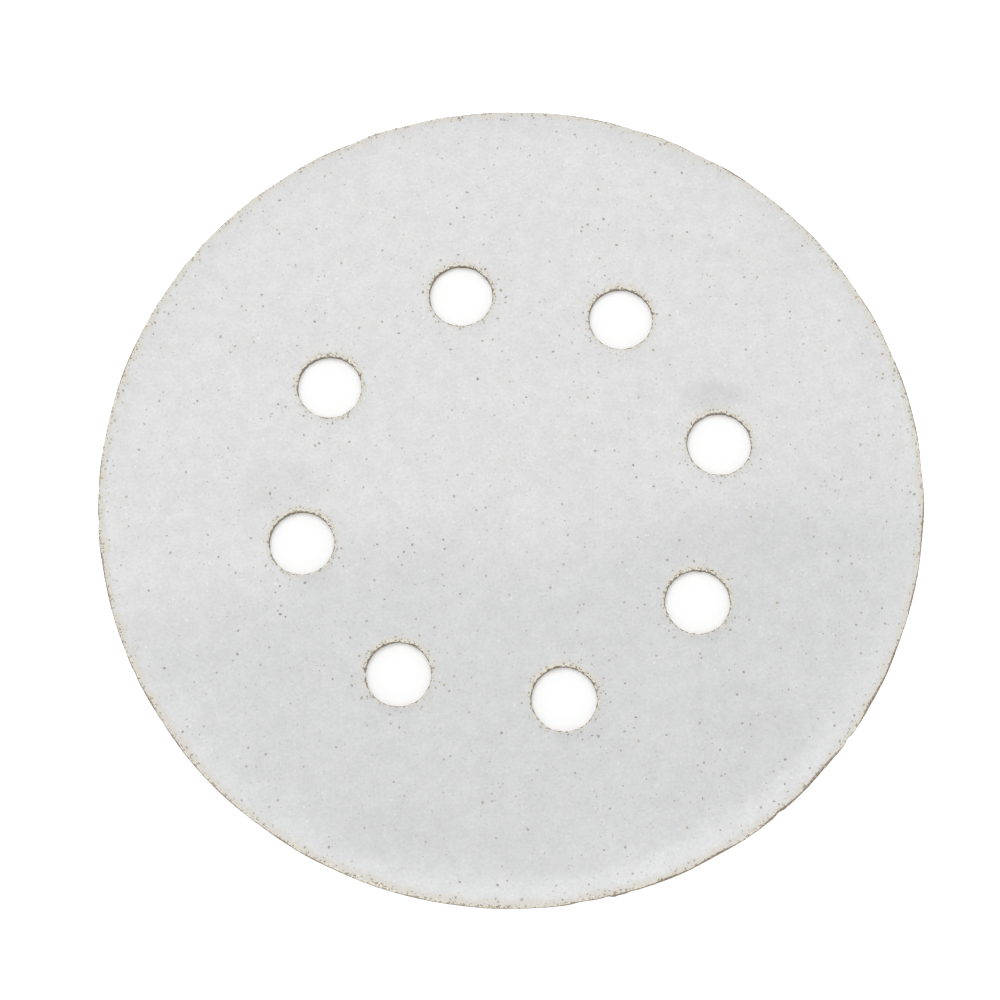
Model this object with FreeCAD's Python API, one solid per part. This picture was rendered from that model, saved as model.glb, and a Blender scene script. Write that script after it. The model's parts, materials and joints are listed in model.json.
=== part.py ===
import FreeCAD, Part
import math
import os

# A self-adhesive sanding disc, lying with its abrasive face up, in millimetres.
# It is two webs cut by one die: the coated abrasive paper and, under its adhesive, the release liner.
# The origin is at the disc's centre on the surface that it lies on. +Z comes out of the abrasive face
# and +X runs through the middle of one extraction hole.

# Cut outline and extraction holes.
disc_diameter = 125.0
hole_circle_diameter = 65.0
hole_diameter = 10.0
hole_count = 8

# Webs. The abrasive one counts its paper, resin, grit, anti-clog coat and adhesive film.
abrasive_thickness = 0.50
liner_thickness = 0.08

# The sheet lies flat in the middle and its rim turns up. The flat middle is a circle that sits a
# little off centre, so the turned-up band is widest, and its edge highest, on one side of the disc.
curl_band_width = 6.5
curl_radius = 50.0
flat_middle_offset = 2.5
highest_edge_angle = 255.0

# The die is longer than the highest edge and starts below the liner.
die_overrun = 1.0


def vector(x, y, z):
    return FreeCAD.Vector(x, y, z)


def disc_radius():
    return disc_diameter / 2


def flat_radius():
    return disc_radius() - curl_band_width


def flat_centre():
    """Centre of the flat middle, on the side opposite the highest edge."""
    angle = math.radians(highest_edge_angle)
    return vector(-flat_middle_offset * math.cos(angle), -flat_middle_offset * math.sin(angle), 0)


def curl_point(height, angle):
    """A point on the turned-up arc of the surface that is this high in the flat middle."""
    radius = curl_radius - height
    return vector(flat_radius() + radius * math.sin(angle), 0, curl_radius - radius * math.cos(angle))


def curl_end_angle(top):
    """How far the arc has to turn for the web to reach past the die all round."""
    reach = disc_radius() + flat_middle_offset + die_overrun
    return math.asin((reach - flat_radius()) / (curl_radius - top))


def web_section(bottom, top):
    """Half section of a web: its flat middle from the axis outwards, then its turned-up rim."""
    end = curl_end_angle(top)
    low_start, low_middle, low_end = [curl_point(bottom, end * share) for share in (0, 0.5, 1)]
    high_start, high_middle, high_end = [curl_point(top, end * share) for share in (0, 0.5, 1)]
    low_axis = vector(0, 0, bottom)
    high_axis = vector(0, 0, top)
    edges = [
        Part.LineSegment(low_axis, low_start).toShape(),
        Part.Arc(low_start, low_middle, low_end).toShape(),
        Part.LineSegment(low_end, high_end).toShape(),
        Part.Arc(high_end, high_middle, high_start).toShape(),
        Part.LineSegment(high_start, high_axis).toShape(),
        Part.LineSegment(high_axis, low_axis).toShape(),
    ]
    return Part.Face(Part.Wire(edges))


def uncut_web(bottom, top):
    """A web before it is cut, turned about the middle of its flat part."""
    web = web_section(bottom, top).revolve(vector(0, 0, 0), vector(0, 0, 1), 360)
    web.translate(flat_centre())
    return web


def die_cylinder(radius, x, y):
    """A straight cut of this radius through both webs."""
    top = liner_thickness + abrasive_thickness
    highest_edge = curl_point(top, curl_end_angle(top)).z
    length = highest_edge + 2 * die_overrun
    return Part.makeCylinder(radius, length, vector(x, y, -die_overrun), vector(0, 0, 1))


def hole_punches():
    """One punch for each extraction hole, the first on +X."""
    circle_radius = hole_circle_diameter / 2
    punches = []
    for number in range(hole_count):
        angle = 2 * math.pi * number / hole_count
        x = circle_radius * math.cos(angle)
        y = circle_radius * math.sin(angle)
        punches.append(die_cylinder(hole_diameter / 2, x, y))
    return punches


def die_cut(web):
    """The web inside the outer die, with its extraction holes punched out."""
    return web.common(die_cylinder(disc_radius(), 0, 0)).cut(hole_punches())


def release_liner():
    """The paper that covers the adhesive, lying on the surface under the disc."""
    return die_cut(uncut_web(0, liner_thickness))


def abrasive_disc():
    """The coated paper, with its adhesive side on the liner."""
    return die_cut(uncut_web(liner_thickness, liner_thickness + abrasive_thickness))


os.makedirs("parts", exist_ok=True)
for name, make_piece in (("release_liner", release_liner), ("abrasive_disc", abrasive_disc)):
    piece = make_piece().Solids[0]
    piece.exportStep("parts/" + name + ".step")
    top = piece.optimalBoundingBox().ZMax
    print(name, "volume", round(piece.Volume, 1), "mm3, highest edge", round(top, 2), "mm")
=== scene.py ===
import json
import math
from functools import partial

import bmesh
import bpy
import numpy as np
from bpy.props import FloatProperty, FloatVectorProperty, IntProperty, PointerProperty
from mathutils import Matrix, Vector


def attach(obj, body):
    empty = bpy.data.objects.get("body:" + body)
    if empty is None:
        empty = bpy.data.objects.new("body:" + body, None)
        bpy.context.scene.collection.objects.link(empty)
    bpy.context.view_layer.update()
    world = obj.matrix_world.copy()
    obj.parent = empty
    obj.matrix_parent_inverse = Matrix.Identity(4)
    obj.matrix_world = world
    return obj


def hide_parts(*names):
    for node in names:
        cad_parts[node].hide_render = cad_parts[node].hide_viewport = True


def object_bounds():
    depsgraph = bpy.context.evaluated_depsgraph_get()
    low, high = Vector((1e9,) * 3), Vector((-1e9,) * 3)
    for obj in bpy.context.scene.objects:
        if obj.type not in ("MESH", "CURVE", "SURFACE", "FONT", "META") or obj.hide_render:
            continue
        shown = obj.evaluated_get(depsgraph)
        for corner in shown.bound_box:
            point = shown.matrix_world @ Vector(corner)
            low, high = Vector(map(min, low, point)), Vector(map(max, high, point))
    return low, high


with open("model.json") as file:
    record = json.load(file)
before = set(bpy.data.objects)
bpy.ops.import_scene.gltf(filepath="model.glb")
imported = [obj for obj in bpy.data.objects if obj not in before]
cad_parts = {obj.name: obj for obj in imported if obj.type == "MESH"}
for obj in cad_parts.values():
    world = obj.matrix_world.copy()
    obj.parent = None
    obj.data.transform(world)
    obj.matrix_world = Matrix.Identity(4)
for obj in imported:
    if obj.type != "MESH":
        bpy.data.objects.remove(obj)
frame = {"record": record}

bl_info = {
    "name": "Self-adhesive sanding disc",
    "version": (1, 0, 0),
    "blender": (4, 5, 0),
    "location": "View3D > Sidebar > Sanding disc",
    "description": "Builds a coated abrasive disc with extraction holes on its release liner",
    "category": "Object",
}

MM = 0.001
cad_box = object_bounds()
hole_ring = next(mount["dims"] for mount in frame["record"]["mounts"] if mount["name"] == "extraction_holes")


# Sizes and finishes that a user would change

def Length(name, description, millimetres):
    return FloatProperty(name=name, description=description, default=millimetres * MM, unit="LENGTH")


def Angle(name, description, degrees):
    return FloatProperty(name=name, description=description, default=math.radians(degrees), subtype="ANGLE")


def Colour(name, description, tone):
    return FloatVectorProperty(name=name, description=description, default=tone, subtype="COLOR")


def Amount(name, description, value, **limits):
    return FloatProperty(name=name, description=description, default=value, **limits)


def Count(name, description, number, least=0):
    return IntProperty(name=name, description=description, default=number, min=least)


class SheetSizes(bpy.types.PropertyGroup):
    radius: Length("Disc radius", "Centre to cut edge", 62.5)
    hole_circle: Length("Hole circle radius", "Disc centre to hole centre", hole_ring["pcd_mm"] / 2)
    hole_radius: Length("Hole radius", "Radius of each extraction hole", hole_ring["hole_r_mm"])
    hole_count: Count("Holes", "Extraction holes in the ring", hole_ring["count"], 3)
    sheet_thickness: Length("Abrasive sheet", "Thickness with paper, grit, coat and adhesive", 0.50)
    liner_thickness: Length("Release liner", "Thickness of the paper under the adhesive", 0.08)


class RimCurl(bpy.types.PropertyGroup):
    band: Length("Curl band", "Mean width of the turned-up rim", 6.5)
    bend: Length("Curl radius", "Bend of the liner's underside", 50.0)
    offset: Length("Flat middle offset", "How far the flat middle sits off centre", 2.5)
    highest: Angle("Highest edge", "Heading of the highest edge from +X", 255)


class EdgeWear(bpy.types.PropertyGroup):
    wander: Length("Cut wander", "How far the cut outline strays inwards", 0.10)
    nick: Length("Nicks", "Depth of the deepest nicks in the cut outline", 0.22)
    chip_width: Length("Chip width", "Mean width of the coat chipped off at the rim", 0.26)
    hole_chip_width: Length("Hole chip width", "Mean width of the coat chipped off at the holes", 0.29)
    coat_depth: Length("Coat depth", "Step down from the coat to the bare grit", 0.05)
    lip_height: Length("Punched lip", "How far the sheet stands up at a hole", 0.16)
    lip_width: Length("Lip width", "Distance over which a lip fades", 0.75)
    rolled_depth: Length("Rolled edge depth", "How far the cut drags the face down", 0.11)
    rolled_width: Length("Rolled edge width", "Width of the dragged edge", 0.16)
    burr: Length("Burr", "How far a hole's cut edge stands into the hole", 0.15)
    ripple: Length("Ripple", "Height of the slow waves in the face", 0.045)


class CoatFinish(bpy.types.PropertyGroup):
    # Pale coat carries a painted sheen of the softbox over the far half of the face; dull coat is the coat
    # without it.
    pale: Colour("Pale coat", "Where the coat lies thick", (0.712, 0.712, 0.710))
    dull: Colour("Dull coat", "Where the coat lies thin", (0.655, 0.657, 0.658))
    thin: Colour("Thin coat", "Where the coat feathers out towards a cut", (0.676, 0.650, 0.584))
    bare: Colour("Bare size coat", "Cream resin under the chipped coat", (0.800, 0.765, 0.675))
    grit: Colour("Brown grit", "Grains seen where the coat is off", (0.215, 0.150, 0.092))
    roughness: Amount("Coat roughness", "Sheen of the coat", 0.34, min=0, max=1)


class EdgeFinish(bpy.types.PropertyGroup):
    resin: Colour("Resin and grit", "Upper layer of the cut edge", (0.088, 0.062, 0.036))
    paper: Colour("Backing paper", "Lower layer of the cut edge", (0.160, 0.120, 0.076))
    adhesive: Colour("Adhesive", "Film on the back", (0.52, 0.45, 0.32))
    liner: Colour("Liner paper", "Release paper", (0.74, 0.71, 0.62))


class GritTips(bpy.types.PropertyGroup):
    face_count: Count("Grains on the face", "Tips spread over the whole face", 1180)
    rim_count: Count("Grains by the rim", "Tips gathered along the rim", 900)
    hole_count: Count("Grains by each hole", "Tips gathered round a hole", 60)
    smallest: Length("Smallest grain", "Width of the finest tips", 0.19)
    largest: Length("Largest grain", "Width of the coarsest tips", 0.55)
    seed: Count("Seed", "Fixes where the grains lie", 7)


class StageSettings(bpy.types.PropertyGroup):
    camera_place: FloatVectorProperty(
        name="Camera place", description="Where the camera stands", subtype="XYZ", unit="LENGTH",
        default=(-0.02613, -0.09896, 0.37632))
    camera_tilt: Angle("Camera tilt", "From straight down", 15.09)
    camera_turn: Angle("Camera turn", "Turn of the picture about +Z", -13.8)
    focal_share: Amount("Focal share", "Focal length in picture widths", 2.5754, min=0.1)
    floor_tone: Colour("Floor", "Plain pale floor", (0.88, 0.88, 0.88))
    floor_glow: Amount("Floor brightness", "Added round the disc for the camera alone", 0.65)
    hole_glow: Amount("Brightness in the holes", "Added inside the disc's rim for the camera alone", 0.156)
    sky: Amount("Sky", "Even light from all round", 0.66, min=0)
    key: Amount("Key light", "Radiance of the large softbox", 1.46, min=0)
    key_heading: Angle("Key heading", "From +X", 94)
    key_rise: Angle("Key rise", "Above the floor", 62)
    key_distance: Length("Key distance", "From the disc's centre", 2200)
    key_size: FloatVectorProperty(
        name="Key size", description="Width and height of the softbox", size=2, default=(2.6, 1.9),
        unit="LENGTH")


GROUPS = {
    "disc_sizes": SheetSizes,
    "disc_curl": RimCurl,
    "disc_wear": EdgeWear,
    "disc_coat": CoatFinish,
    "disc_edge": EdgeFinish,
    "disc_grit": GritTips,
    "disc_stage": StageSettings,
}


# Selecting and shaping in edit mode

RING_SLACK = 0.004 * MM


def clear_selection():
    if bpy.context.object and bpy.context.object.mode != "OBJECT":
        bpy.ops.object.mode_set(mode="OBJECT")
    bpy.ops.object.select_all(action="DESELECT")


def start_piece(name):
    """An empty mesh object at the origin, in edit mode."""
    clear_selection()
    bpy.ops.object.add(type="MESH", location=(0, 0, 0))
    piece = bpy.context.object
    piece.name = name
    piece.data.name = name
    bpy.ops.object.mode_set(mode="EDIT")
    bpy.ops.mesh.select_mode(type="VERT")
    return piece


def select_where(test):
    """Selects just the vertices that pass the test, and the edges and faces between them."""
    bpy.ops.mesh.select_all(action="DESELECT")
    mesh = bpy.context.object.data
    shape = bmesh.from_edit_mesh(mesh)
    for vertex in shape.verts:
        if test(vertex.co):
            vertex.select_set(True)
    shape.select_flush(True)
    bmesh.update_edit_mesh(mesh)


def on_ring(radius, centre=(0, 0)):
    """A test for points at this radius from a centre."""
    def test(point):
        return abs(math.hypot(point.x - centre[0], point.y - centre[1]) - radius) < RING_SLACK
    return test


def grow_rings(radii, centre=(0, 0)):
    """Extrudes the selected ring outwards through these radii."""
    last = radii[0]
    for radius in radii[1:]:
        bpy.ops.mesh.extrude_edges_move()
        scale = radius / last
        bpy.ops.transform.resize(value=(scale, scale, 1), center_override=(*centre, 0))
        last = radius


def hole_centres(sizes):
    """The middle of each extraction hole, the first on +X."""
    angles = [2 * math.pi * number / sizes.hole_count for number in range(sizes.hole_count)]
    return [(sizes.hole_circle * math.cos(angle), sizes.hole_circle * math.sin(angle)) for angle in angles]


# The plan of the die-cut sheet: one sector with its hole, turned round the ring of holes, then a
# middle and an outer band. Rings are given by their distance from the cut, in mm.

FINE = {
    "hole_rings": (0, 0.08, 0.18, 0.30, 0.46, 0.68, 0.98, 1.40),
    "bridge_cuts": 13,
    "outer_rings": 14,
    "rim_rings": (5.4, 4.7, 4.0, 3.35, 2.75, 2.2, 1.75, 1.35, 1.05, 0.8, 0.6, 0.43, 0.29, 0.18, 0.09, 0),
    "middle": "grid",
}
COARSE = {
    "hole_rings": (0, 0.9),
    "bridge_cuts": 2,
    "outer_rings": 3,
    "rim_rings": (5.0, 4.0, 3.0, 2.0, 1.0, 0),
    "middle": "plain",
}
SECTOR_INNER = 22.5 * MM
SECTOR_OUTER = 43.5 * MM
OUTER_BAND_EDGE = 6.3 * MM
ARC_STEPS = 56
SIDE_STEPS = 32
RIM_SPLIT = 3
WELD = 0.002 * MM


def sector_outline(sizes):
    """The closed outline of one sector, centred on +X."""
    angle = 2 * math.pi / sizes.hole_count
    length = SECTOR_OUTER - SECTOR_INNER
    middle = (SECTOR_OUTER + SECTOR_INNER) / 2
    bpy.ops.mesh.primitive_plane_add(size=length, location=(middle, length / 2, 0))
    select_where(lambda point: point.y > length / 2)
    bpy.ops.mesh.delete(type="VERT")
    bpy.ops.mesh.select_all(action="SELECT")
    bpy.ops.mesh.subdivide(number_cuts=SIDE_STEPS - 1)
    bpy.ops.mesh.spin(steps=ARC_STEPS, angle=angle, center=(0, 0, 0), axis=(0, 0, 1))
    bpy.ops.mesh.select_all(action="SELECT")
    bpy.ops.mesh.select_mode(type="EDGE")
    bpy.ops.mesh.region_to_loop()
    bpy.ops.mesh.select_all(action="INVERT")
    bpy.ops.mesh.delete(type="EDGE")
    bpy.ops.mesh.select_mode(type="VERT")
    mesh = bpy.context.object.data
    shape = bmesh.from_edit_mesh(mesh)
    heading = math.atan2(sum(v.co.y for v in shape.verts), sum(v.co.x for v in shape.verts))
    bmesh.ops.rotate(shape, verts=shape.verts, matrix=Matrix.Rotation(-heading, 3, "Z"))
    bmesh.update_edit_mesh(mesh)


def sector_with_hole(sizes, detail):
    """Rings round the hole, bridged to the sector's outline."""
    sector_outline(sizes)
    centre = (sizes.hole_circle, 0)
    radii = [sizes.hole_radius + step * MM for step in detail["hole_rings"]]
    bpy.ops.mesh.select_all(action="DESELECT")
    bpy.ops.mesh.primitive_circle_add(
        vertices=2 * (ARC_STEPS + SIDE_STEPS), radius=radii[0], location=(*centre, 0))
    grow_rings(radii, centre)
    select_where(lambda point: math.hypot(point.x - centre[0], point.y) > radii[-1] - RING_SLACK)
    bpy.ops.mesh.bridge_edge_loops(number_cuts=detail["bridge_cuts"], interpolation="LINEAR")


def turn_sectors(sizes):
    """Copies the sector round the ring of holes and joins the copies."""
    step = 2 * math.pi / sizes.hole_count
    bpy.ops.mesh.select_all(action="SELECT")
    bpy.ops.mesh.spin(
        steps=sizes.hole_count - 1, dupli=True, angle=2 * math.pi - step, center=(0, 0, 0), axis=(0, 0, 1))
    bpy.ops.mesh.select_all(action="SELECT")
    bpy.ops.mesh.remove_doubles(threshold=WELD)


def fill_middle(sizes, detail):
    """Closes the sheet inside the ring of sectors."""
    select_where(on_ring(SECTOR_INNER))
    if detail["middle"] == "grid":
        bpy.ops.mesh.fill_grid(span=sizes.hole_count * ARC_STEPS // 4)
    else:
        bpy.ops.mesh.edge_face_add()


def grow_rim(sizes, detail):
    """The outer band, then a finer rim whose rings crowd towards the cut."""
    edge = sizes.radius - OUTER_BAND_EDGE
    steps = detail["outer_rings"]
    band = [SECTOR_OUTER + (edge - SECTOR_OUTER) * step / steps for step in range(steps + 1)]
    select_where(on_ring(SECTOR_OUTER))
    grow_rings(band)
    select_where(on_ring(edge))
    bpy.ops.mesh.subdivide(number_cuts=RIM_SPLIT - 1, ngon=False, quadcorner="STRAIGHT_CUT")
    mesh = bpy.context.object.data
    shape = bmesh.from_edit_mesh(mesh)
    for vertex in shape.verts:
        if vertex.select:
            vertex.co.xy = vertex.co.xy.normalized() * edge
    bmesh.update_edit_mesh(mesh)
    select_where(on_ring(edge))
    grow_rings([edge] + [sizes.radius - step * MM for step in detail["rim_rings"]])


def draw_plan(name, sizes, detail, height):
    """The die-cut sheet as one flat surface at this height."""
    piece = start_piece(name)
    sector_with_hole(sizes, detail)
    turn_sectors(sizes)
    fill_middle(sizes, detail)
    grow_rim(sizes, detail)
    bpy.ops.mesh.select_all(action="SELECT")
    bpy.ops.transform.translate(value=(0, 0, height))
    bpy.ops.object.mode_set(mode="OBJECT")
    return piece


def close_web(name, sizes, top_detail, bottom, top, wall_steps):
    """A flat closed web: its two faces, with a wall round the rim and in each hole."""
    upper = draw_plan(name, sizes, top_detail, top)
    lower = draw_plan(name + "_underside", sizes, COARSE, bottom)
    clear_selection()
    lower.select_set(True)
    upper.select_set(True)
    bpy.context.view_layer.objects.active = upper
    bpy.ops.object.join()
    bpy.ops.object.mode_set(mode="EDIT")
    holes = [(centre, sizes.hole_radius) for centre in hole_centres(sizes)]
    for centre, radius in [((0, 0), sizes.radius)] + holes:
        select_where(on_ring(radius, centre))
        bpy.ops.mesh.bridge_edge_loops(number_cuts=wall_steps - 1, interpolation="LINEAR")
    bpy.ops.mesh.select_all(action="SELECT")
    bpy.ops.mesh.normals_make_consistent(inside=False)
    bpy.ops.object.mode_set(mode="OBJECT")
    return upper


# How the flat webs come to lie: worn at their cut edges, rippled, and curled up at the rim

# Turn to the camera's upright frame, in which places on the face are given.
PHOTO_TURN = math.radians(13.8)

# Slow waves in the face: their longest and shortest length, and how far in they start.
LONG_WAVE = 34 * MM
SHORT_WAVE = 9 * MM
RIPPLE_START = 6 * MM
RIPPLE_SEED = 21

# Creases across the face, in that frame: both ends, half width and height.
CREASES = (
    ((-5 * MM, 47.5 * MM), (49 * MM, 37.5 * MM), 1.4 * MM, 0.14 * MM),
    ((8 * MM, 51.5 * MM), (44 * MM, 44.5 * MM), 1.1 * MM, -0.10 * MM),
    ((14 * MM, 40.5 * MM), (52 * MM, 33.0 * MM), 1.5 * MM, -0.11 * MM),
)
CREASE_FADE_SHARE = 1 / 4

# Ragged lines: the fewest and most waves in a full turn, and the seed, which counts on at the holes.
RIM_WANDER = (7, 44, 11)
RIM_FRAY = (60, 420, 12)
RIM_BITE = (6, 90, 31)
RIM_CHIP = (60, 520, 32)
RIM_CRUSH = (3, 60, 33)
RIM_PRESS = (6, 40, 34)
RIM_BLUNT = (9, 70, 35)
HOLE_CUT = (2, 70, 40)
HOLE_CHIP = (5, 60, 60)
HOLE_LIP = (2, 13, 80)
HOLE_CRUSH = (3, 40, 100)

# The cut outline: how far in the face gives with it, and its nicks, of which the first is a step.
FADE = 1.0 * MM
NICK_SEED = 13
NICK_COUNT = 9
STEP_HEADING = math.radians(269.1)
STEP_SHARE = 1.2
STEP_FADE = 3.5 * MM
STEP_POWER = 9
HOLE_WANDER_SHARE = 0.3

# Stretches where the cut runs flatter than a circle: heading, half width and depth.
FLATS = (
    (math.radians(-33), math.radians(30), 0.32 * MM),
    (math.radians(88), math.radians(27), 0.24 * MM),
)

# Edges that the die crushed: how wide, how uneven, and where it was pressed hardest or was blunt.
# At the holes the dark crushed margin is also painted shade, wider on the side whose wall faces away
# from the key light.
CRUSH_WIDTH = 0.12 * MM
CRUSH_LIMIT = 1.3
PRESSED_WIDTH = 0.29 * MM
PRESSED_SIDE = math.radians(-52)
BLUNT_AND_SHADE_WIDTH = 0.10 * MM
BLUNT_SIDE = math.radians(22)
HOLE_SHADED_SIDE = math.radians(138)
HOLE_CRUSH_WIDTH = 0.07 * MM
HOLE_CRUSH_SWING = 0.06 * MM
CRUSH_UNEVEN = 0.48

# Coat shed along the cuts: how far the bites and chips reach. The pale margin is also painted light
# and shade, from the key light's side: wider there at the holes and narrower there at the rim, so that
# it is widest where a lip or the rim faces the light.
BITE_DEPTH = 0.35 * MM
CHIP_UNEVEN = 0.55
HOLE_CHIP_SHARE = 0.6
LIT_SIDE = math.radians(76)
RIM_LIT_MARGIN = 0.16 * MM
HOLE_LIT_MARGIN = 0.32 * MM
HOLE_MARGIN_SHARE = 1.8
COAT_STEP_WIDTH = 0.14 * MM
RIM_ROLL_SHARE = 0.6
LIP_UNEVEN = 0.30


def smooth_step(value):
    value = np.clip(value, 0, 1)
    return value * value * (3 - 2 * value)


def facing(angles, side):
    """One on this side and zero from a quarter turn away."""
    return np.clip(np.cos(angles - side), 0, None)


def turn_from(angles, heading):
    """The angle from this heading, the shorter way."""
    return np.angle(np.exp(1j * (angles - heading)))


def ragged(angles, line, number=0, waves=40):
    """A random value of about one for each heading, the same again after a full turn."""
    fewest, most, seed = line
    draw = np.random.RandomState(seed + number)
    total = np.zeros_like(angles)
    for _ in range(waves):
        count = draw.randint(fewest, most + 1)
        total += np.sin(count * angles + draw.uniform(0, 2 * np.pi))
    return total * math.sqrt(2 / waves)


def slow_waves(x, y, waves=24):
    """A random value of about one for each place, with no fine detail."""
    draw = np.random.RandomState(RIPPLE_SEED)
    total = np.zeros_like(x)
    for _ in range(waves):
        length = draw.uniform(SHORT_WAVE, LONG_WAVE)
        heading = draw.uniform(0, np.pi)
        along = x * math.cos(heading) + y * math.sin(heading)
        total += length / LONG_WAVE * np.sin(2 * np.pi * along / length + draw.uniform(0, 2 * np.pi))
    return total * math.sqrt(2 / waves)


def crease_height(x, y):
    """Height of the creases at each place."""
    cosine, sine = math.cos(PHOTO_TURN), math.sin(PHOTO_TURN)
    across, along = x * cosine - y * sine, x * sine + y * cosine
    total = np.zeros_like(x)
    for start, end, half_width, height in CREASES:
        run = Vector(end) - Vector(start)
        length = run.length
        run.normalize()
        forward = ((across - start[0]) * run.x + (along - start[1]) * run.y) / length
        beside = (along - start[1]) * run.x - (across - start[0]) * run.y
        ends = smooth_step(forward / CREASE_FADE_SHARE) * smooth_step((1 - forward) / CREASE_FADE_SHARE)
        total += height * ends * np.exp(-(beside / half_width) ** 2)
    return total


def rim_setback(angles, sizes, wear):
    """How far the cut outline lies inside the true circle at each heading."""
    wander = 0.6 + 0.40 * ragged(angles, RIM_WANDER) + 0.10 * ragged(angles, RIM_FRAY)
    total = np.clip(wear.wander * wander, 0, None)
    draw = np.random.RandomState(NICK_SEED)
    for number in range(NICK_COUNT):
        heading = STEP_HEADING if number == 0 else draw.uniform(-np.pi, np.pi)
        depth = wear.nick * (STEP_SHARE if number == 0 else draw.uniform(0.2, 1.0))
        half_width = draw.uniform(0.5, 1.6) * MM / sizes.radius
        turn = turn_from(angles, heading)
        shape = np.exp(-(turn / half_width) ** 2)
        if number == 0:
            shape = np.where(turn < 0, np.exp(turn * sizes.radius / STEP_FADE), shape ** STEP_POWER)
        total += depth * shape
    for heading, half_width, depth in FLATS:
        total += depth * np.exp(-(turn_from(angles, heading) / half_width) ** 2)
    return total


def rim_wear(angle, inside, sizes, wear):
    """How far the rim moves outwards, the distances from its two margins, and its roll."""
    crush = CRUSH_WIDTH * np.clip(ragged(angle, RIM_CRUSH), 0, CRUSH_LIMIT)
    pressed = PRESSED_WIDTH * facing(angle, PRESSED_SIDE) ** 5
    crush += pressed * (1 + CRUSH_UNEVEN * ragged(angle, RIM_PRESS))
    blunt = BLUNT_AND_SHADE_WIDTH * np.cos(angle - BLUNT_SIDE) ** 4
    crush += blunt * (1 + CRUSH_UNEVEN * ragged(angle, RIM_BLUNT))
    chip = wear.chip_width * (1 + CHIP_UNEVEN * ragged(angle, RIM_CHIP))
    # Painted light and shade: the pale margin narrows where the rim faces away from the key light.
    chip -= RIM_LIT_MARGIN * np.cos(angle - LIT_SIDE)
    bite = BITE_DEPTH * np.clip(ragged(angle, RIM_BITE) - 1, 0, 1)
    outwards = -rim_setback(angle, sizes, wear) * np.exp(-inside / FADE)
    roll = RIM_ROLL_SHARE * np.clip(1 - inside / wear.rolled_width, 0, None) ** 2
    return outwards, inside - np.clip(chip, 0, None) - bite, inside - np.clip(crush, 0, None), roll


def hole_wear(angle, away, number, wear):
    """The same at a hole."""
    crush = HOLE_CRUSH_WIDTH + HOLE_CRUSH_SWING * ragged(angle, HOLE_CRUSH, number)
    # Painted shade: a wider dark margin on the side whose wall faces away from the key light.
    crush += BLUNT_AND_SHADE_WIDTH * facing(angle, HOLE_SHADED_SIDE) ** 2
    chip = wear.hole_chip_width * (HOLE_CHIP_SHARE + CHIP_UNEVEN * ragged(angle, HOLE_CHIP, number))
    # Painted light: the pale margin widens on the side where the lip faces the key light.
    chip += HOLE_LIT_MARGIN * np.cos(angle - LIT_SIDE)
    outwards = HOLE_WANDER_SHARE * wear.wander * ragged(angle, HOLE_CUT, number) - wear.burr
    outwards *= np.exp(-np.abs(away) / FADE)
    roll = np.clip(1 - away / wear.rolled_width, 0, None) ** 2
    return outwards, HOLE_MARGIN_SHARE * (away - chip), away - crush, roll


def settle(points, scene):
    """Where points of the flat webs end up, and what their materials need to know of them.

    The values are how far each point lies from the chipped and the crushed margin, in mm, and how
    deep in the sheet, from 0 at the face to 1 at the back.
    """
    sizes, curl, wear = scene.disc_sizes, scene.disc_curl, scene.disc_wear
    x, y, height = np.array(points.T)
    top = sizes.liner_thickness + sizes.sheet_thickness
    share = np.clip((height - sizes.liner_thickness) / sizes.sheet_thickness, 0, 1)
    angle = np.arctan2(y, x)
    inside = sizes.radius - np.hypot(x, y)
    lift = wear.ripple * slow_waves(x, y) * smooth_step(inside / RIPPLE_START) + crease_height(x, y)
    outwards, coat_edge, crush_edge, roll = rim_wear(angle, inside, sizes, wear)
    shift_x, shift_y = outwards * np.cos(angle), outwards * np.sin(angle)
    for number, (middle_x, middle_y) in enumerate(hole_centres(sizes)):
        away = np.hypot(x - middle_x, y - middle_y) - sizes.hole_radius
        angle = np.arctan2(y - middle_y, x - middle_x)
        outwards, coat_end, crush_end, hole_roll = hole_wear(angle, away, number, wear)
        shift_x += outwards * np.cos(angle)
        shift_y += outwards * np.sin(angle)
        coat_edge = np.minimum(coat_edge, coat_end)
        crush_edge = np.minimum(crush_edge, crush_end)
        roll = np.maximum(roll, hole_roll)
        lip = wear.lip_height * (1 + LIP_UNEVEN * ragged(angle, HOLE_LIP, number, waves=12))
        lift += lip * np.exp(-np.clip(away, 0, None) / wear.lip_width)
    lift -= wear.coat_depth * smooth_step(0.5 - coat_edge / COAT_STEP_WIDTH)
    lift -= wear.rolled_depth * np.minimum(roll, 1)
    x += shift_x
    y += shift_y
    middle_x = -curl.offset * math.cos(curl.highest)
    middle_y = -curl.offset * math.sin(curl.highest)
    past_flat = np.hypot(x - middle_x, y - middle_y) - (sizes.radius - curl.band)
    bend = curl.bend - np.minimum(height, top)
    z = curl.bend - np.sqrt(bend ** 2 - np.clip(past_flat, 0, None) ** 2) + lift * share
    z = np.minimum(z, cad_box[1][2])
    values = {"coat_edge": coat_edge / MM, "crush_edge": crush_edge / MM, "web_depth": 1 - share}
    return np.stack((x, y, z), axis=1), values


def add_values(mesh, name, values):
    """Keeps one value for each point of the mesh."""
    attribute = mesh.attributes.new(name, "FLOAT", "POINT")
    attribute.data.foreach_set("value", values.astype(np.float32))


def lay_web(piece, scene):
    """Settles a flat web and keeps what its materials need to know of each point."""
    mesh = piece.data
    points = np.empty(3 * len(mesh.vertices))
    mesh.vertices.foreach_get("co", points)
    settled, values = settle(points.reshape(-1, 3), scene)
    mesh.vertices.foreach_set("co", settled.ravel())
    for name, numbers in values.items():
        add_values(mesh, name, numbers)
    mesh.update()


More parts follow.
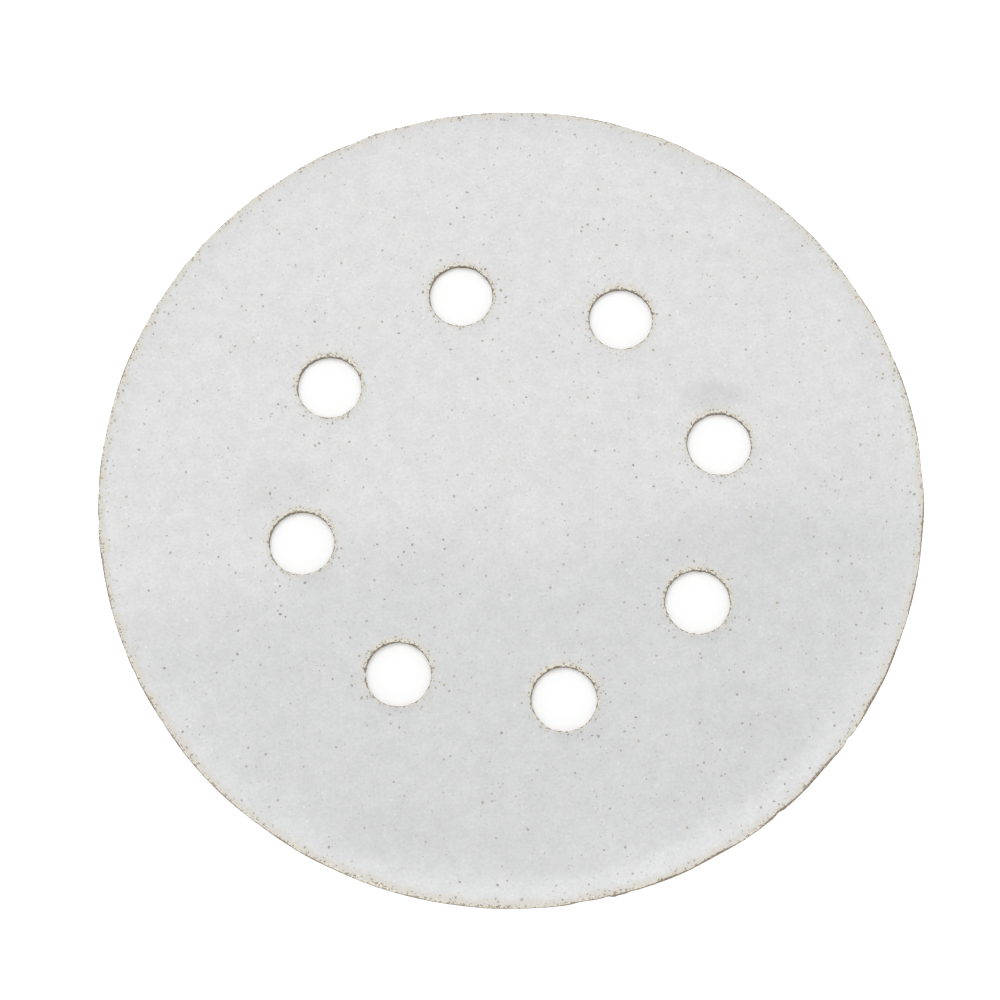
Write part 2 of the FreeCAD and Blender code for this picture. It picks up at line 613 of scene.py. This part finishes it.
def shade_smooth(piece, angle):
    """Shades the piece smooth, apart from edges that turn more than this."""
    clear_selection()
    piece.select_set(True)
    bpy.context.view_layer.objects.active = piece
    bpy.ops.object.shade_smooth_by_angle(angle=angle)
    clear_selection()


# Node trees

def put(kind, inputs, tree=None, **settings):
    """Adds a shader node. Each input is a plain value, or a socket that feeds it and gives the tree."""
    sockets = {key: value for key, value in inputs.items() if isinstance(value, bpy.types.NodeSocket)}
    tree = tree or next(iter(sockets.values())).id_data
    node = tree.nodes.new("ShaderNode" + kind)
    for name, value in settings.items():
        setattr(node, name, value)
    for key, value in inputs.items():
        if key in sockets:
            tree.links.new(value, node.inputs[key])
        else:
            node.inputs[key].default_value = value
    return node


def calculate(operation, first, second=0.0, clamp=False):
    return put("Math", {0: first, 1: second}, operation=operation, use_clamp=clamp).outputs[0]


plus = partial(calculate, "ADD")
minus = partial(calculate, "SUBTRACT")
times = partial(calculate, "MULTIPLY")
over = partial(calculate, "DIVIDE")


def span(value, start, end, low=0.0, high=1.0):
    """Eases a value from low to high as it goes from start to end."""
    inputs = {0: value, 1: start, 2: end, 3: low, 4: high}
    return put("MapRange", inputs, interpolation_type="SMOOTHSTEP").outputs[0]


def opaque(colour):
    return colour if isinstance(colour, bpy.types.NodeSocket) else (*colour, 1.0)


def mix(share, first, second, blend="MIX"):
    inputs = {0: share, 6: opaque(first), 7: opaque(second)}
    return put("Mix", inputs, data_type="RGBA", blend_type=blend).outputs[2]


def speckle(vector, size, detail=2.0, roughness=0.5):
    """Soft noise whose blots are about this size, in metres."""
    scale = over(1.0, size) if isinstance(size, bpy.types.NodeSocket) else 1 / size
    inputs = {"Vector": vector, "Scale": scale, "Detail": detail, "Roughness": roughness}
    return put("TexNoise", inputs).outputs[0]


def waver(vector, *noise):
    """The same noise about zero."""
    return minus(speckle(vector, *noise), 0.5)


def noise_tone(vector, swing, *noise):
    """The same noise as a factor that swings about one."""
    return span(speckle(vector, *noise), 0.3, 0.7, 1 - swing, 1 + swing)


# Node groups, each made from a function of its inputs and named after it

SOCKET_KINDS = {"Vector": "Vector", "Color": "Color", "Pale": "Color", "Dark": "Color"}


def build_group(make, inputs, outputs):
    group = bpy.data.node_groups.new(make.__name__, "ShaderNodeTree")
    for way, labels in (("INPUT", inputs), ("OUTPUT", outputs)):
        for label in labels:
            kind = "NodeSocket" + SOCKET_KINDS.get(label, "Float")
            group.interface.new_socket(name=label, in_out=way, socket_type=kind)
    given = group.nodes.new("NodeGroupInput").outputs
    result = group.nodes.new("NodeGroupOutput").inputs
    for label, value in zip(outputs, make(*[given[label] for label in inputs])):
        group.links.new(value, result[label])
    return group


def node_group(inputs, outputs=("Tone",)):
    """Makes a function of sockets add a shared node group and give that group's outputs."""
    def wrap(make):
        def add(*values):
            group = bpy.data.node_groups.get(make.__name__) or build_group(make, inputs, outputs)
            return put("Group", dict(zip(inputs, values)), node_tree=group).outputs
        return add
    return wrap


MOTTLE_SCALES = ((1.0, 2.4), (0.28, 1.2), (0.06, 0.88))
COARSE_SIZE = 2.6
COARSE_SHARE = 0.8
GRIT_WOBBLE = 0.7
GRIT_SHARE = 0.16
GRIT_BORDER = (-0.12, 0.12)
FLECK_RARITY = 2.5
FIBRE_TURNS = (0.35, 1.5, 2.6)
FIBRE_SCALE = (1.0, 0.14, 1.0)


@node_group(("Vector", "Size", "Depth"))
def uneven_tone(place, size, depth):
    """Slight uneven tone at three scales, as a factor near one."""
    total = 0.0
    for share, weight in MOTTLE_SCALES:
        total = plus(total, times(waver(place, times(size, share), 3.0), weight))
    return [plus(times(total, depth), 1.0)]


@node_group(("Vector", "Size"), ("Height",))
def fine_grain(place, size):
    """Fine bumps of a dried coat."""
    coarse = speckle(place, times(size, COARSE_SIZE))
    return [plus(times(coarse, COARSE_SHARE), speckle(place, size, 3.0, 0.62))]


@node_group(("Vector", "Size", "Pale", "Dark"), ("Color", "Height"))
def packed_grit(place, size, pale, dark):
    """Packed grains: each cell has its own tone between two colours."""
    wobble = put("TexNoise", {"Vector": place, "Scale": over(GRIT_WOBBLE, size), "Detail": 2.0}).outputs[1]
    push = put("VectorMath", {0: wobble, 1: (-0.5, -0.5, -0.5)}, operation="ADD").outputs[0]
    push = put("VectorMath", {0: push, "Scale": size}, operation="SCALE").outputs[0]
    place = put("VectorMath", {0: place, 1: push}, operation="ADD").outputs[0]
    cells = put("TexVoronoi", {"Vector": place, "Scale": over(1.0, size)}).outputs
    draw = put("SeparateColor", {0: cells["Color"]}).outputs[0]
    share = span(minus(draw, 1.0 - GRIT_SHARE), *GRIT_BORDER)
    return mix(share, pale, dark), minus(1.0, cells["Distance"])


@node_group(("Vector", "Spacing", "Width", "Depth"))
def scattered_flecks(place, spacing, width, depth):
    """Small round flecks of uneven strength, as a factor near one."""
    cells = put("TexVoronoi", {"Vector": place, "Scale": over(1.0, spacing)}).outputs
    spot = minus(1.0, over(times(cells["Distance"], spacing), width), clamp=True)
    draw = put("SeparateColor", {0: cells["Color"]}).outputs[1]
    fleck = times(times(spot, 2.0, clamp=True), calculate("POWER", draw, FLECK_RARITY))
    return [plus(times(fleck, depth), 1.0)]


@node_group(("Vector", "Size", "Depth"))
def paper_fibre(place, size, depth):
    """Matted paper fibres, as a factor near one."""
    total = 0.0
    for heading in FIBRE_TURNS:
        inputs = {"Vector": place, "Rotation": (0, 0, heading), "Scale": FIBRE_SCALE}
        total = plus(total, waver(put("Mapping", inputs).outputs[0], size))
    return [plus(times(total, depth), 1.0)]


# Materials

def new_material(name, roughness):
    """A material with its tree, its shader and the piece's own coordinates."""
    material = bpy.data.materials.new(name)
    material.use_nodes = True
    tree = material.node_tree
    shader = tree.nodes["Principled BSDF"]
    shader.inputs["Roughness"].default_value = roughness
    place = tree.nodes.new("ShaderNodeTexCoord").outputs["Object"]
    return material, tree, shader, place


def value_of(tree, name):
    """A value kept at each point of the mesh."""
    return put("Attribute", {}, tree, attribute_name=name, attribute_type="GEOMETRY").outputs["Fac"]


def tint(colour, *tones):
    """Multiplies a colour by factors near one."""
    total = tones[0]
    for tone in tones[1:]:
        total = times(total, tone)
    grey = put("CombineColor", {0: total, 1: total, 2: total}).outputs[0]
    return mix(1.0, colour, grey, "MULTIPLY")


def bump(shader, height, depth):
    """Raises the shaded surface by this depth, in metres, where the height is one."""
    node = put("Bump", {"Height": height, "Distance": depth, "Strength": 1.0})
    node.id_data.links.new(node.outputs[0], shader.inputs["Normal"])


# Scratches, in the upright frame: middle, half length and half width in mm, and how dark they are.
# Gaps of about this size break them.
SCRATCHES = (
    (12.3, -1.6, 6.2, 0.10, 0.075),
    (13.0, -3.0, 3.4, 0.07, 0.06),
    (-5.4, 18.0, 7.0, 0.07, 0.045),
    (-58.4, 1.0, 12.5, 0.09, 0.05),
    (-57.2, -4.0, 8.0, 0.06, 0.04),
    (31.5, -30.0, 5.0, 0.07, 0.03),
)
SCRATCH_GAP = 0.5 * MM

# Soft patches, in the same frame: middle, half width and half height in mm, and how dark they are,
# below zero for paler ones.
SOFT_PATCHES = (
    (31.0, 15.4, 4.8, 2.8, 0.11),
    (43.0, 41.0, 6.0, 3.0, 0.022),
    (-34.0, 1.0, 6.5, 4.5, 0.055),
    (34.0, -7.0, 16.0, 5.0, 0.035),
    (34.0, -33.5, 8.0, 6.0, 0.03),
    (-17.0, -51.5, 11.0, 4.5, 0.032),
    (56.5, 24.0, 3.5, 7.0, 0.025),
    (26.0, -53.5, 14.0, 7.0, -0.014),
    (-38.0, -12.5, 6.0, 5.0, -0.03),
    (-46.0, -36.0, 8.0, 9.0, -0.03),
    (54.0, -1.0, 8.0, 5.0, -0.03),
)
SOFT_PATCH_END = 1.6

# How far the marks waver sideways, and how slowly.
MARK_WAVER = 0.5 * MM
MARK_WAVE = 3.0 * MM

# Spans, as span takes them: from where to where something changes, and its values there.
MARK_GAPS = (0.35, 0.6)
# Painted shade and light on the rim: where it begins and ends, and its strength.
RIM_SHADE = (56 * MM, 61.5 * MM, 0.0, 0.06)
# Painted sheen along the crest: its fade across, and where along the rim it starts.
CREST_ACROSS = (0.5 * MM, 2.3 * MM, 0.042, 0.0)
CREST_ENDS = (0.70, 0.95)
BARE_END = (-0.06, 0.10, 1.0, 0.0)
THIN_END = (0.45, 1.05, 0.95, 0.0)
THIN_PATCHES = (0.25, 0.65, 0.55, 1.0)
CRUSH_END = (-0.05, 0.05, 1.0, 0.0)
CRUSH_PATCHES = (0.30, 0.55, 0.55, 0.95)

# The coat goes from dull to pale up the picture, a painted sheen of the softbox on the far half. This border
# sways and slants.
SHEEN_BORDER = (-16 * MM, 3 * MM)
SHEEN_BORDER_SWAY = 22 * MM
SHEEN_BORDER_SLANT = -0.19

# Painted shade and light: the coat is painted darker towards the far rim and paler towards the near one,
# from this share of the radius, where the turned-up rim is shaded and lit. A painted sheen lies along a
# crest on this side, where the rim starts to turn up.
RIM_SHADE_MIDDLE = 0.25
CREST_REACH = 59.5 * MM
CREST_SIDE = (0.37, -0.93)

# Noise in the coat's tone: swing, size, detail and roughness. The streaks are stretched lengthwise.
POWDER = (0.050, 0.50 * MM, 4.0, 0.72)
CLOUDS = (0.029, 2.4 * MM, 3.0, 0.6)
STREAKS = (0.004, 1.1 * MM, 3.0)
STREAK_STRETCH = 0.10

# Flecks in the coat: spacing, width and how much paler they are.
BURIED_FLECKS = (0.72 * MM, 0.21 * MM, -0.15)
DEEPER_FLECKS = (0.50 * MM, 0.14 * MM, -0.08)
DUST_FLECKS = (1.08 * MM, 0.20 * MM, 0.19)

# How ragged the margins along a cut are, in mm, and how rough and lumpy the bare resin is.
JAGGED = (0.22 * MM, 3.0, 0.6)
EDGE_RAGGED = 0.55
CRUSH_RAGGED = 0.30
THIN_STRAY = 1.7
BARE_ROUGHER = 0.25
BARE_LUMPS = 5.0

# Where the cut edge's layers give way to the next one, from 0 at the face to 1 at the back.
COAT_END = (0.05, 0.13)
RESIN_END = (0.40, 0.50)
PAPER_END = (0.90, 0.96)
LAYER_RAGGED = 0.22

# Grain colours, from the darkest up.
GRAIN_TONES = (
    (0.0, (0.25, 0.243, 0.220)),
    (0.35, (0.45, 0.44, 0.40)),
    (0.6, (0.44, 0.395, 0.31)),
    (1.0, (0.52, 0.43, 0.28)),
)
FACET_TONES = (0.75, 1.3)


def soft_patch_mask(across, along):
    """Patches that fade out all round."""
    total = 0.0
    for x, y, half_width, half_height, darkness in SOFT_PATCHES:
        beside = over(minus(across, x * MM), half_width * MM)
        ahead = over(minus(along, y * MM), half_height * MM)
        reach = plus(times(beside, beside), times(ahead, ahead))
        total = plus(total, span(reach, 0.0, SOFT_PATCH_END, darkness, 0.0))
    return total


def scratch_mask(across, along):
    """Dark thin marks that run up the picture."""
    total = 0.0
    for x, y, half_length, half_width, darkness in SCRATCHES:
        beside = calculate("ABSOLUTE", minus(across, x * MM))
        thin = span(beside, 0.0, half_width * 2 * MM, darkness, 0.0)
        ahead = calculate("ABSOLUTE", minus(along, y * MM))
        long = span(ahead, half_length * 0.5 * MM, half_length * MM, 1.0, 0.0)
        total = plus(total, times(thin, long))
    return total


def mark_tone(place, axes):
    """Broken scratches and soft darker and paler patches, as a factor."""
    across = plus(axes[0], times(waver(place, MARK_WAVE, 1.0), MARK_WAVER))
    kept = span(speckle(place, SCRATCH_GAP), *MARK_GAPS)
    scratches = times(scratch_mask(across, axes[1]), kept)
    return minus(1.0, plus(scratches, soft_patch_mask(across, axes[1])))


def painted_rim_shade(reach, axes, radius):
    """Painted shade and light: a factor that falls towards the far rim and rises towards the near one."""
    ahead = minus(over(axes[1], radius), RIM_SHADE_MIDDLE)
    return minus(1.0, times(ahead, span(reach, *RIM_SHADE)))


def painted_crest_sheen(reach, axes):
    """Painted sheen: a factor that rises along the crest, where the rim starts to turn up."""
    near = over(plus(times(axes[0], CREST_SIDE[0]), times(axes[1], CREST_SIDE[1])), CREST_REACH)
    aside = calculate("ABSOLUTE", minus(reach, CREST_REACH))
    return plus(1.0, times(span(aside, *CREST_ACROSS), span(near, *CREST_ENDS)))


def face_colour(place, coat, radius):
    """The whole coat's colour, with its soft changes of tone, flecks and marks, and its painted sheen and
    shade.
    """
    turned = put("Mapping", {"Vector": place, "Rotation": (0, 0, PHOTO_TURN)}).outputs[0]
    drawn_out = put("Mapping", {"Vector": turned, "Scale": (1.0, STREAK_STRETCH, 1.0)}).outputs[0]
    axes = put("SeparateXYZ", {0: turned}).outputs
    reach = put("VectorMath", {0: place}, operation="LENGTH").outputs["Value"]
    # Painted sheen: the coat turns pale up the picture, past this swaying, slanting border.
    sheen_border = plus(axes[1], times(waver(place, SHEEN_BORDER_SWAY), SHEEN_BORDER_SWAY))
    sheen_border = plus(sheen_border, times(axes[0], SHEEN_BORDER_SLANT))
    tones = [
        uneven_tone(place, 16 * MM, 0.022)["Tone"],
        noise_tone(turned, *CLOUDS), noise_tone(drawn_out, *STREAKS), noise_tone(place, *POWDER),
        # Painted shade and light on the rim, then painted sheen along its crest.
        painted_rim_shade(reach, axes, radius), painted_crest_sheen(reach, axes),
    ]
    for where, kind in ((place, BURIED_FLECKS), (turned, DEEPER_FLECKS), (turned, DUST_FLECKS)):
        tones.append(scattered_flecks(where, *kind)["Tone"])
    return tint(mix(span(sheen_border, *SHEEN_BORDER), coat.dull, coat.pale), *tones, mark_tone(place, axes))


def coat_material(coat, radius, depth):
    """Anti-clog coat, chipped off to cream resin and brown grit along the cuts."""
    material, tree, shader, place = new_material("anti_clog_coat", coat.roughness)
    jagged = waver(place, *JAGGED)
    edge = plus(value_of(tree, "coat_edge"), times(jagged, EDGE_RAGGED))
    strayed = plus(edge, times(waver(place, 2.2 * MM, 3.0), THIN_STRAY))
    thin = times(span(strayed, *THIN_END), span(speckle(place, 0.7 * MM), *THIN_PATCHES))
    colour = mix(thin, face_colour(place, coat, radius), coat.thin)
    resin = packed_grit(place, 0.17 * MM, opaque(coat.bare), opaque(coat.grit))
    bare = span(edge, *BARE_END)
    colour = mix(bare, colour, resin["Color"])
    crush_edge = plus(value_of(tree, "crush_edge"), times(jagged, CRUSH_RAGGED))
    crushed = times(span(crush_edge, *CRUSH_END), span(speckle(place, 0.30 * MM, 3.0), *CRUSH_PATCHES))
    tree.links.new(mix(crushed, colour, coat.grit), shader.inputs["Base Color"])
    tree.links.new(plus(coat.roughness, times(bare, BARE_ROUGHER)), shader.inputs["Roughness"])
    lumps = times(times(resin["Height"], bare), BARE_LUMPS)
    bump(shader, plus(plus(fine_grain(place, 0.13 * MM)["Height"], lumps), bare), depth)
    return material


def cut_edge_material(edge, coat):
    """The sheet's layers seen in the cut: coat, resin and grit, paper, then adhesive."""
    material, tree, shader, place = new_material("cut_edge", 0.62)
    ragged_depth = times(waver(place, 0.35 * MM, 3.0, 0.6), LAYER_RAGGED)
    depth = plus(value_of(tree, "web_depth"), ragged_depth)
    resin = packed_grit(place, 0.13 * MM, opaque(edge.resin), opaque(coat.bare))
    fibre = paper_fibre(place, 0.12 * MM, 0.7)["Tone"]
    paper = tint(edge.paper, fibre, uneven_tone(place, 5 * MM, 0.10)["Tone"])
    colour = mix(span(depth, *COAT_END), coat.dull, resin["Color"])
    colour = mix(span(depth, *RESIN_END), colour, paper)
    colour = mix(span(depth, *PAPER_END), colour, edge.adhesive)
    tree.links.new(colour, shader.inputs["Base Color"])
    bump(shader, plus(resin["Height"], fibre), 0.02 * MM)
    return material


def adhesive_material(edge):
    """The tacky film on the back of the paper."""
    material, tree, shader, place = new_material("adhesive_film", 0.28)
    mottle = uneven_tone(place, 9 * MM, 0.05)["Tone"]
    film = tint(edge.adhesive, mottle, paper_fibre(place, 0.3 * MM, 0.15)["Tone"])
    tree.links.new(film, shader.inputs["Base Color"])
    bump(shader, mottle, 0.05 * MM)
    return material


def liner_material(edge):
    """Satin release paper with matted fibres under its silicone."""
    material, tree, shader, place = new_material("release_paper", 0.42)
    mottle = uneven_tone(place, 12 * MM, 0.025)["Tone"]
    fibre = paper_fibre(place, 0.35 * MM, 0.12)["Tone"]
    tree.links.new(tint(edge.liner, mottle, fibre), shader.inputs["Base Color"])
    tree.links.new(span(mottle, 0.9, 1.1, 0.36, 0.5), shader.inputs["Roughness"])
    bump(shader, plus(fine_grain(place, 0.25 * MM)["Height"], fibre), 0.004 * MM)
    return material


def grit_material():
    """Aluminium oxide grains, from dark grey through brown to gold."""
    material, tree, shader, place = new_material("brown_grains", 0.38)
    ramp = put("ValToRGB", {0: value_of(tree, "grain_tone")})
    stops = ramp.color_ramp.elements
    while len(stops) < len(GRAIN_TONES):
        stops.new(0.5)
    for stop, (position, colour) in zip(stops, GRAIN_TONES):
        stop.position = position
        stop.color = (*colour, 1)
    facet = span(speckle(place, 0.07 * MM, 1.0), 0.3, 0.7, *FACET_TONES)
    tree.links.new(tint(ramp.outputs[0], facet), shader.inputs["Base Color"])
    tree.links.new(span(facet, *FACET_TONES, 0.3, 0.5), shader.inputs["Roughness"])
    return material


# Grains that show through the coat

GRAIN_PATTERNS = 5
GRAIN_SQUASH = (1.0, 0.72, 0.42)
GRAIN_UNEVEN = 0.09
SMALL_GRAIN_SHARE = 0.34

# Grains along a cut, in mm: the nearest, how soon they thin out, and how far they go.
RIM_GRAINS = (0.12, 0.55, 5)
HOLE_GRAINS = (0.10, 0.65, 4)
HOLE_CLEARANCE = 0.08 * MM

# Beta distributions of the grains' tones.
CUT_TONES = (2.2, 2.0)
FACE_TONES = (2.0, 3.8)


def model_grain(seed):
    """One squashed, uneven grain about a unit wide: its points and its faces."""
    piece = start_piece("grain_pattern")
    bpy.ops.mesh.primitive_ico_sphere_add(subdivisions=1, radius=0.5)
    bpy.ops.transform.resize(value=GRAIN_SQUASH)
    bpy.ops.mesh.select_all(action="SELECT")
    bpy.ops.transform.vertex_random(offset=GRAIN_UNEVEN, seed=seed)
    bpy.ops.object.mode_set(mode="OBJECT")
    points = np.array([vertex.co[:] for vertex in piece.data.vertices])
    faces = np.array([face.vertices[:] for face in piece.data.polygons])
    mesh = piece.data
    bpy.data.objects.remove(piece)
    bpy.data.meshes.remove(mesh)
    return points, faces


def places_round(middle, radius, outwards, gathering, number, draw):
    """Places gathered along a round cut, on one side of it."""
    nearest, spread, farthest = gathering
    places = []
    for _ in range(number):
        angle = draw.uniform(-np.pi, np.pi)
        reach = radius + outwards * (nearest + min(draw.exponential(spread), farthest)) * MM
        places.append((middle[0] + reach * math.cos(angle), middle[1] + reach * math.sin(angle), True))
    return places


def scatter_places(sizes, grit, draw):
    """Where grains show, and whether by a cut."""
    places = []
    while len(places) < grit.face_count:
        x, y = draw.uniform(-sizes.radius, sizes.radius, 2)
        if math.hypot(x, y) < sizes.radius - MM:
            places.append((x, y, False))
    places += places_round((0, 0), sizes.radius, -1, RIM_GRAINS, grit.rim_count, draw)
    centres = hole_centres(sizes)
    for centre in centres:
        places += places_round(centre, sizes.hole_radius, 1, HOLE_GRAINS, grit.hole_count, draw)
    clear = sizes.hole_radius + HOLE_CLEARANCE
    return [(x, y, by_cut) for x, y, by_cut in places
            if all(math.hypot(x - middle_x, y - middle_y) > clear for middle_x, middle_y in centres)]


def scatter_grains(name, scene):
    """All the grains as one mesh, each sunk in the settled face."""
    sizes, grit = scene.disc_sizes, scene.disc_grit
    draw = np.random.RandomState(grit.seed)
    patterns = [model_grain(seed) for seed in range(GRAIN_PATTERNS)]
    places = scatter_places(sizes, grit, draw)
    top = sizes.liner_thickness + sizes.sheet_thickness
    middles = settle(np.array([(x, y, top) for x, y, by_cut in places]), scene)[0]
    points, faces, tones = [], [], []
    count = 0
    for number, (middle, (*_, by_cut)) in enumerate(zip(middles, places)):
        shape, sides = patterns[number % GRAIN_PATTERNS]
        width = grit.smallest + (grit.largest - grit.smallest) * draw.power(SMALL_GRAIN_SHARE)
        turn = np.array(Matrix.Rotation(draw.uniform(0, 2 * np.pi), 3, "Z"))
        tone = draw.beta(*(CUT_TONES if by_cut else FACE_TONES))
        points.append(width * shape @ turn.T + middle)
        faces.append(sides + count)
        tones.append(np.full(len(shape), tone))
        count += len(shape)
    points = np.concatenate(points)
    points[:, 2] = np.minimum(points[:, 2], cad_box[1][2])
    mesh = bpy.data.meshes.new(name)
    mesh.from_pydata(points.tolist(), [], np.concatenate(faces).tolist())
    add_values(mesh, "grain_tone", np.concatenate(tones))
    piece = bpy.data.objects.new(name, mesh)
    bpy.context.collection.objects.link(piece)
    return piece


# Operators

# The normals of the face and the back rise or fall more than this, and those of the walls less.
FACE_LIMIT = 0.5
FACE_SLOT, WALL_SLOT, BACK_SLOT = 0, 1, 2
WALL_STEPS = 5
COAT_RELIEF = 0.006 * MM
WEB_CREASE = math.radians(50)
GRAIN_CREASE = math.radians(25)


def sort_faces(mesh):
    """Gives each face of a flat web the material slot for its side."""
    for face in mesh.polygons:
        if face.normal.z > FACE_LIMIT:
            face.material_index = FACE_SLOT
        elif face.normal.z < -FACE_LIMIT:
            face.material_index = BACK_SLOT
        else:
            face.material_index = WALL_SLOT


class DISC_OT_abrasive_sheet(bpy.types.Operator):
    """Model the coated abrasive paper with its cut rim and extraction holes"""
    bl_idname = "disc.abrasive_sheet"
    bl_label = "Abrasive sheet"

    def execute(self, context):
        scene = context.scene
        sizes = scene.disc_sizes
        top = sizes.liner_thickness + sizes.sheet_thickness
        sheet = close_web("abrasive_sheet", sizes, FINE, sizes.liner_thickness, top, WALL_STEPS)
        sort_faces(sheet.data)
        lay_web(sheet, scene)
        sheet.data.materials.append(coat_material(scene.disc_coat, sizes.radius, COAT_RELIEF))
        sheet.data.materials.append(cut_edge_material(scene.disc_edge, scene.disc_coat))
        sheet.data.materials.append(adhesive_material(scene.disc_edge))
        shade_smooth(sheet, WEB_CREASE)
        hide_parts("abrasive_disc")
        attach(sheet, "root")
        return {"FINISHED"}


class DISC_OT_release_liner(bpy.types.Operator):
    """Model the release paper under the adhesive"""
    bl_idname = "disc.release_liner"
    bl_label = "Release liner"

    def execute(self, context):
        scene = context.scene
        sizes = scene.disc_sizes
        liner = close_web("liner_paper", sizes, COARSE, 0.0, sizes.liner_thickness, 1)
        lay_web(liner, scene)
        liner.data.materials.append(liner_material(scene.disc_edge))
        shade_smooth(liner, WEB_CREASE)
        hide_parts("release_liner")
        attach(liner, "root")
        return {"FINISHED"}


class DISC_OT_grit_tips(bpy.types.Operator):
    """Scatter the brown grains that show through the coat"""
    bl_idname = "disc.grit_tips"
    bl_label = "Grit tips"

    def execute(self, context):
        scene = context.scene
        tips = scatter_grains("grit_tips", scene)
        tips.data.materials.append(grit_material())
        shade_smooth(tips, GRAIN_CREASE)
        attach(tips, "root")
        return {"FINISHED"}


# The floor lies just under the part, and its glow changes over between the holes and the rim.
FLOOR_SIZE = 6.0
FLOOR_DROP = 0.02 * MM
GLOW_BORDER = (45 * MM, 58 * MM)
SENSOR_WIDTH = 36.0
NEAR_CLIP = 0.01


def white_for_camera(tree):
    """One for rays that show the background."""
    rays = tree.nodes.new("ShaderNodeLightPath").outputs
    seen = calculate("MAXIMUM", rays["Is Camera Ray"], rays["Is Glossy Ray"])
    return calculate("MAXIMUM", seen, rays["Is Transmission Ray"])


def floor_material(stage):
    """Matt floor that takes the disc's shadow and looks white round it."""
    material, tree, shader, place = new_material("studio_floor", 0.9)
    shader.inputs["Base Color"].default_value = (*stage.floor_tone, 1)
    shader.inputs["Emission Color"].default_value = (1, 1, 1, 1)
    shader.inputs["Specular IOR Level"].default_value = 0.0
    reach = put("VectorMath", {0: place}, operation="LENGTH").outputs["Value"]
    level = span(reach, *GLOW_BORDER, stage.hole_glow, stage.floor_glow)
    tree.links.new(times(white_for_camera(tree), level), shader.inputs["Emission Strength"])
    return material


def light_sky(stage):
    """Even light from all round, which the camera sees as white."""
    world = bpy.data.worlds.new("studio")
    world.use_nodes = True
    tree = world.node_tree
    strength = plus(stage.sky, times(white_for_camera(tree), 1.0 - stage.sky))
    tree.links.new(strength, tree.nodes["Background"].inputs["Strength"])
    tree.nodes["Background"].inputs["Color"].default_value = (1, 1, 1, 1)
    bpy.context.scene.world = world


class DISC_OT_stage(bpy.types.Operator):
    """Set the pale floor, the soft studio light and the camera"""
    bl_idname = "disc.stage"
    bl_label = "Stage"

    def execute(self, context):
        scene = context.scene
        stage = scene.disc_stage
        clear_selection()
        bpy.ops.mesh.primitive_plane_add(size=FLOOR_SIZE, location=(0, 0, -FLOOR_DROP))
        floor = context.object
        floor.name = "studio_floor"
        floor.data.materials.append(floor_material(stage))
        light_sky(stage)
        heading, rise = stage.key_heading, stage.key_rise
        flat = math.cos(rise)
        toward = Vector((flat * math.cos(heading), flat * math.sin(heading), math.sin(rise)))
        bpy.ops.object.light_add(type="AREA", location=toward * stage.key_distance)
        lamp = context.object
        lamp.name = "large_softbox"
        lamp.rotation_euler = toward.to_track_quat("Z", "Y").to_euler()
        lamp.data.shape = "RECTANGLE"
        lamp.data.size = stage.key_size[0]
        lamp.data.size_y = stage.key_size[1]
        lamp.data.energy = stage.key * math.pi * stage.key_size[0] * stage.key_size[1]
        clear_selection()
        bpy.ops.object.camera_add(
            location=stage.camera_place, rotation=(stage.camera_tilt, 0, stage.camera_turn))
        camera = context.object
        camera.data.sensor_width = SENSOR_WIDTH
        camera.data.lens = SENSOR_WIDTH * stage.focal_share
        camera.data.clip_start = NEAR_CLIP
        scene.camera = camera
        scene.view_settings.view_transform = "Standard"
        return {"FINISHED"}


class DISC_PT_builder(bpy.types.Panel):
    bl_idname = "DISC_PT_builder"
    bl_label = "Sanding disc"
    bl_space_type = "VIEW_3D"
    bl_region_type = "UI"
    bl_category = "Sanding disc"

    def draw(self, context):
        layout = self.layout
        for name in GROUPS:
            settings = getattr(context.scene, name)
            box = layout.box()
            for key in settings.bl_rna.properties.keys():
                if key not in ("rna_type", "name"):
                    box.prop(settings, key)
        for operator in OPERATORS:
            layout.operator(operator.bl_idname)


OPERATORS = (DISC_OT_abrasive_sheet, DISC_OT_release_liner, DISC_OT_grit_tips, DISC_OT_stage)


def register():
    for name, group in GROUPS.items():
        bpy.utils.register_class(group)
        setattr(bpy.types.Scene, name, PointerProperty(type=group))
    for kind in (*OPERATORS, DISC_PT_builder):
        bpy.utils.register_class(kind)


def unregister():
    for kind in (DISC_PT_builder, *reversed(OPERATORS)):
        bpy.utils.unregister_class(kind)
    for name, group in reversed(GROUPS.items()):
        delattr(bpy.types.Scene, name)
        bpy.utils.unregister_class(group)


def main():
    register()
    bpy.ops.disc.abrasive_sheet()
    bpy.ops.disc.release_liner()
    bpy.ops.disc.grit_tips()
    bpy.ops.disc.stage()


if __name__ == "__main__":
    main()
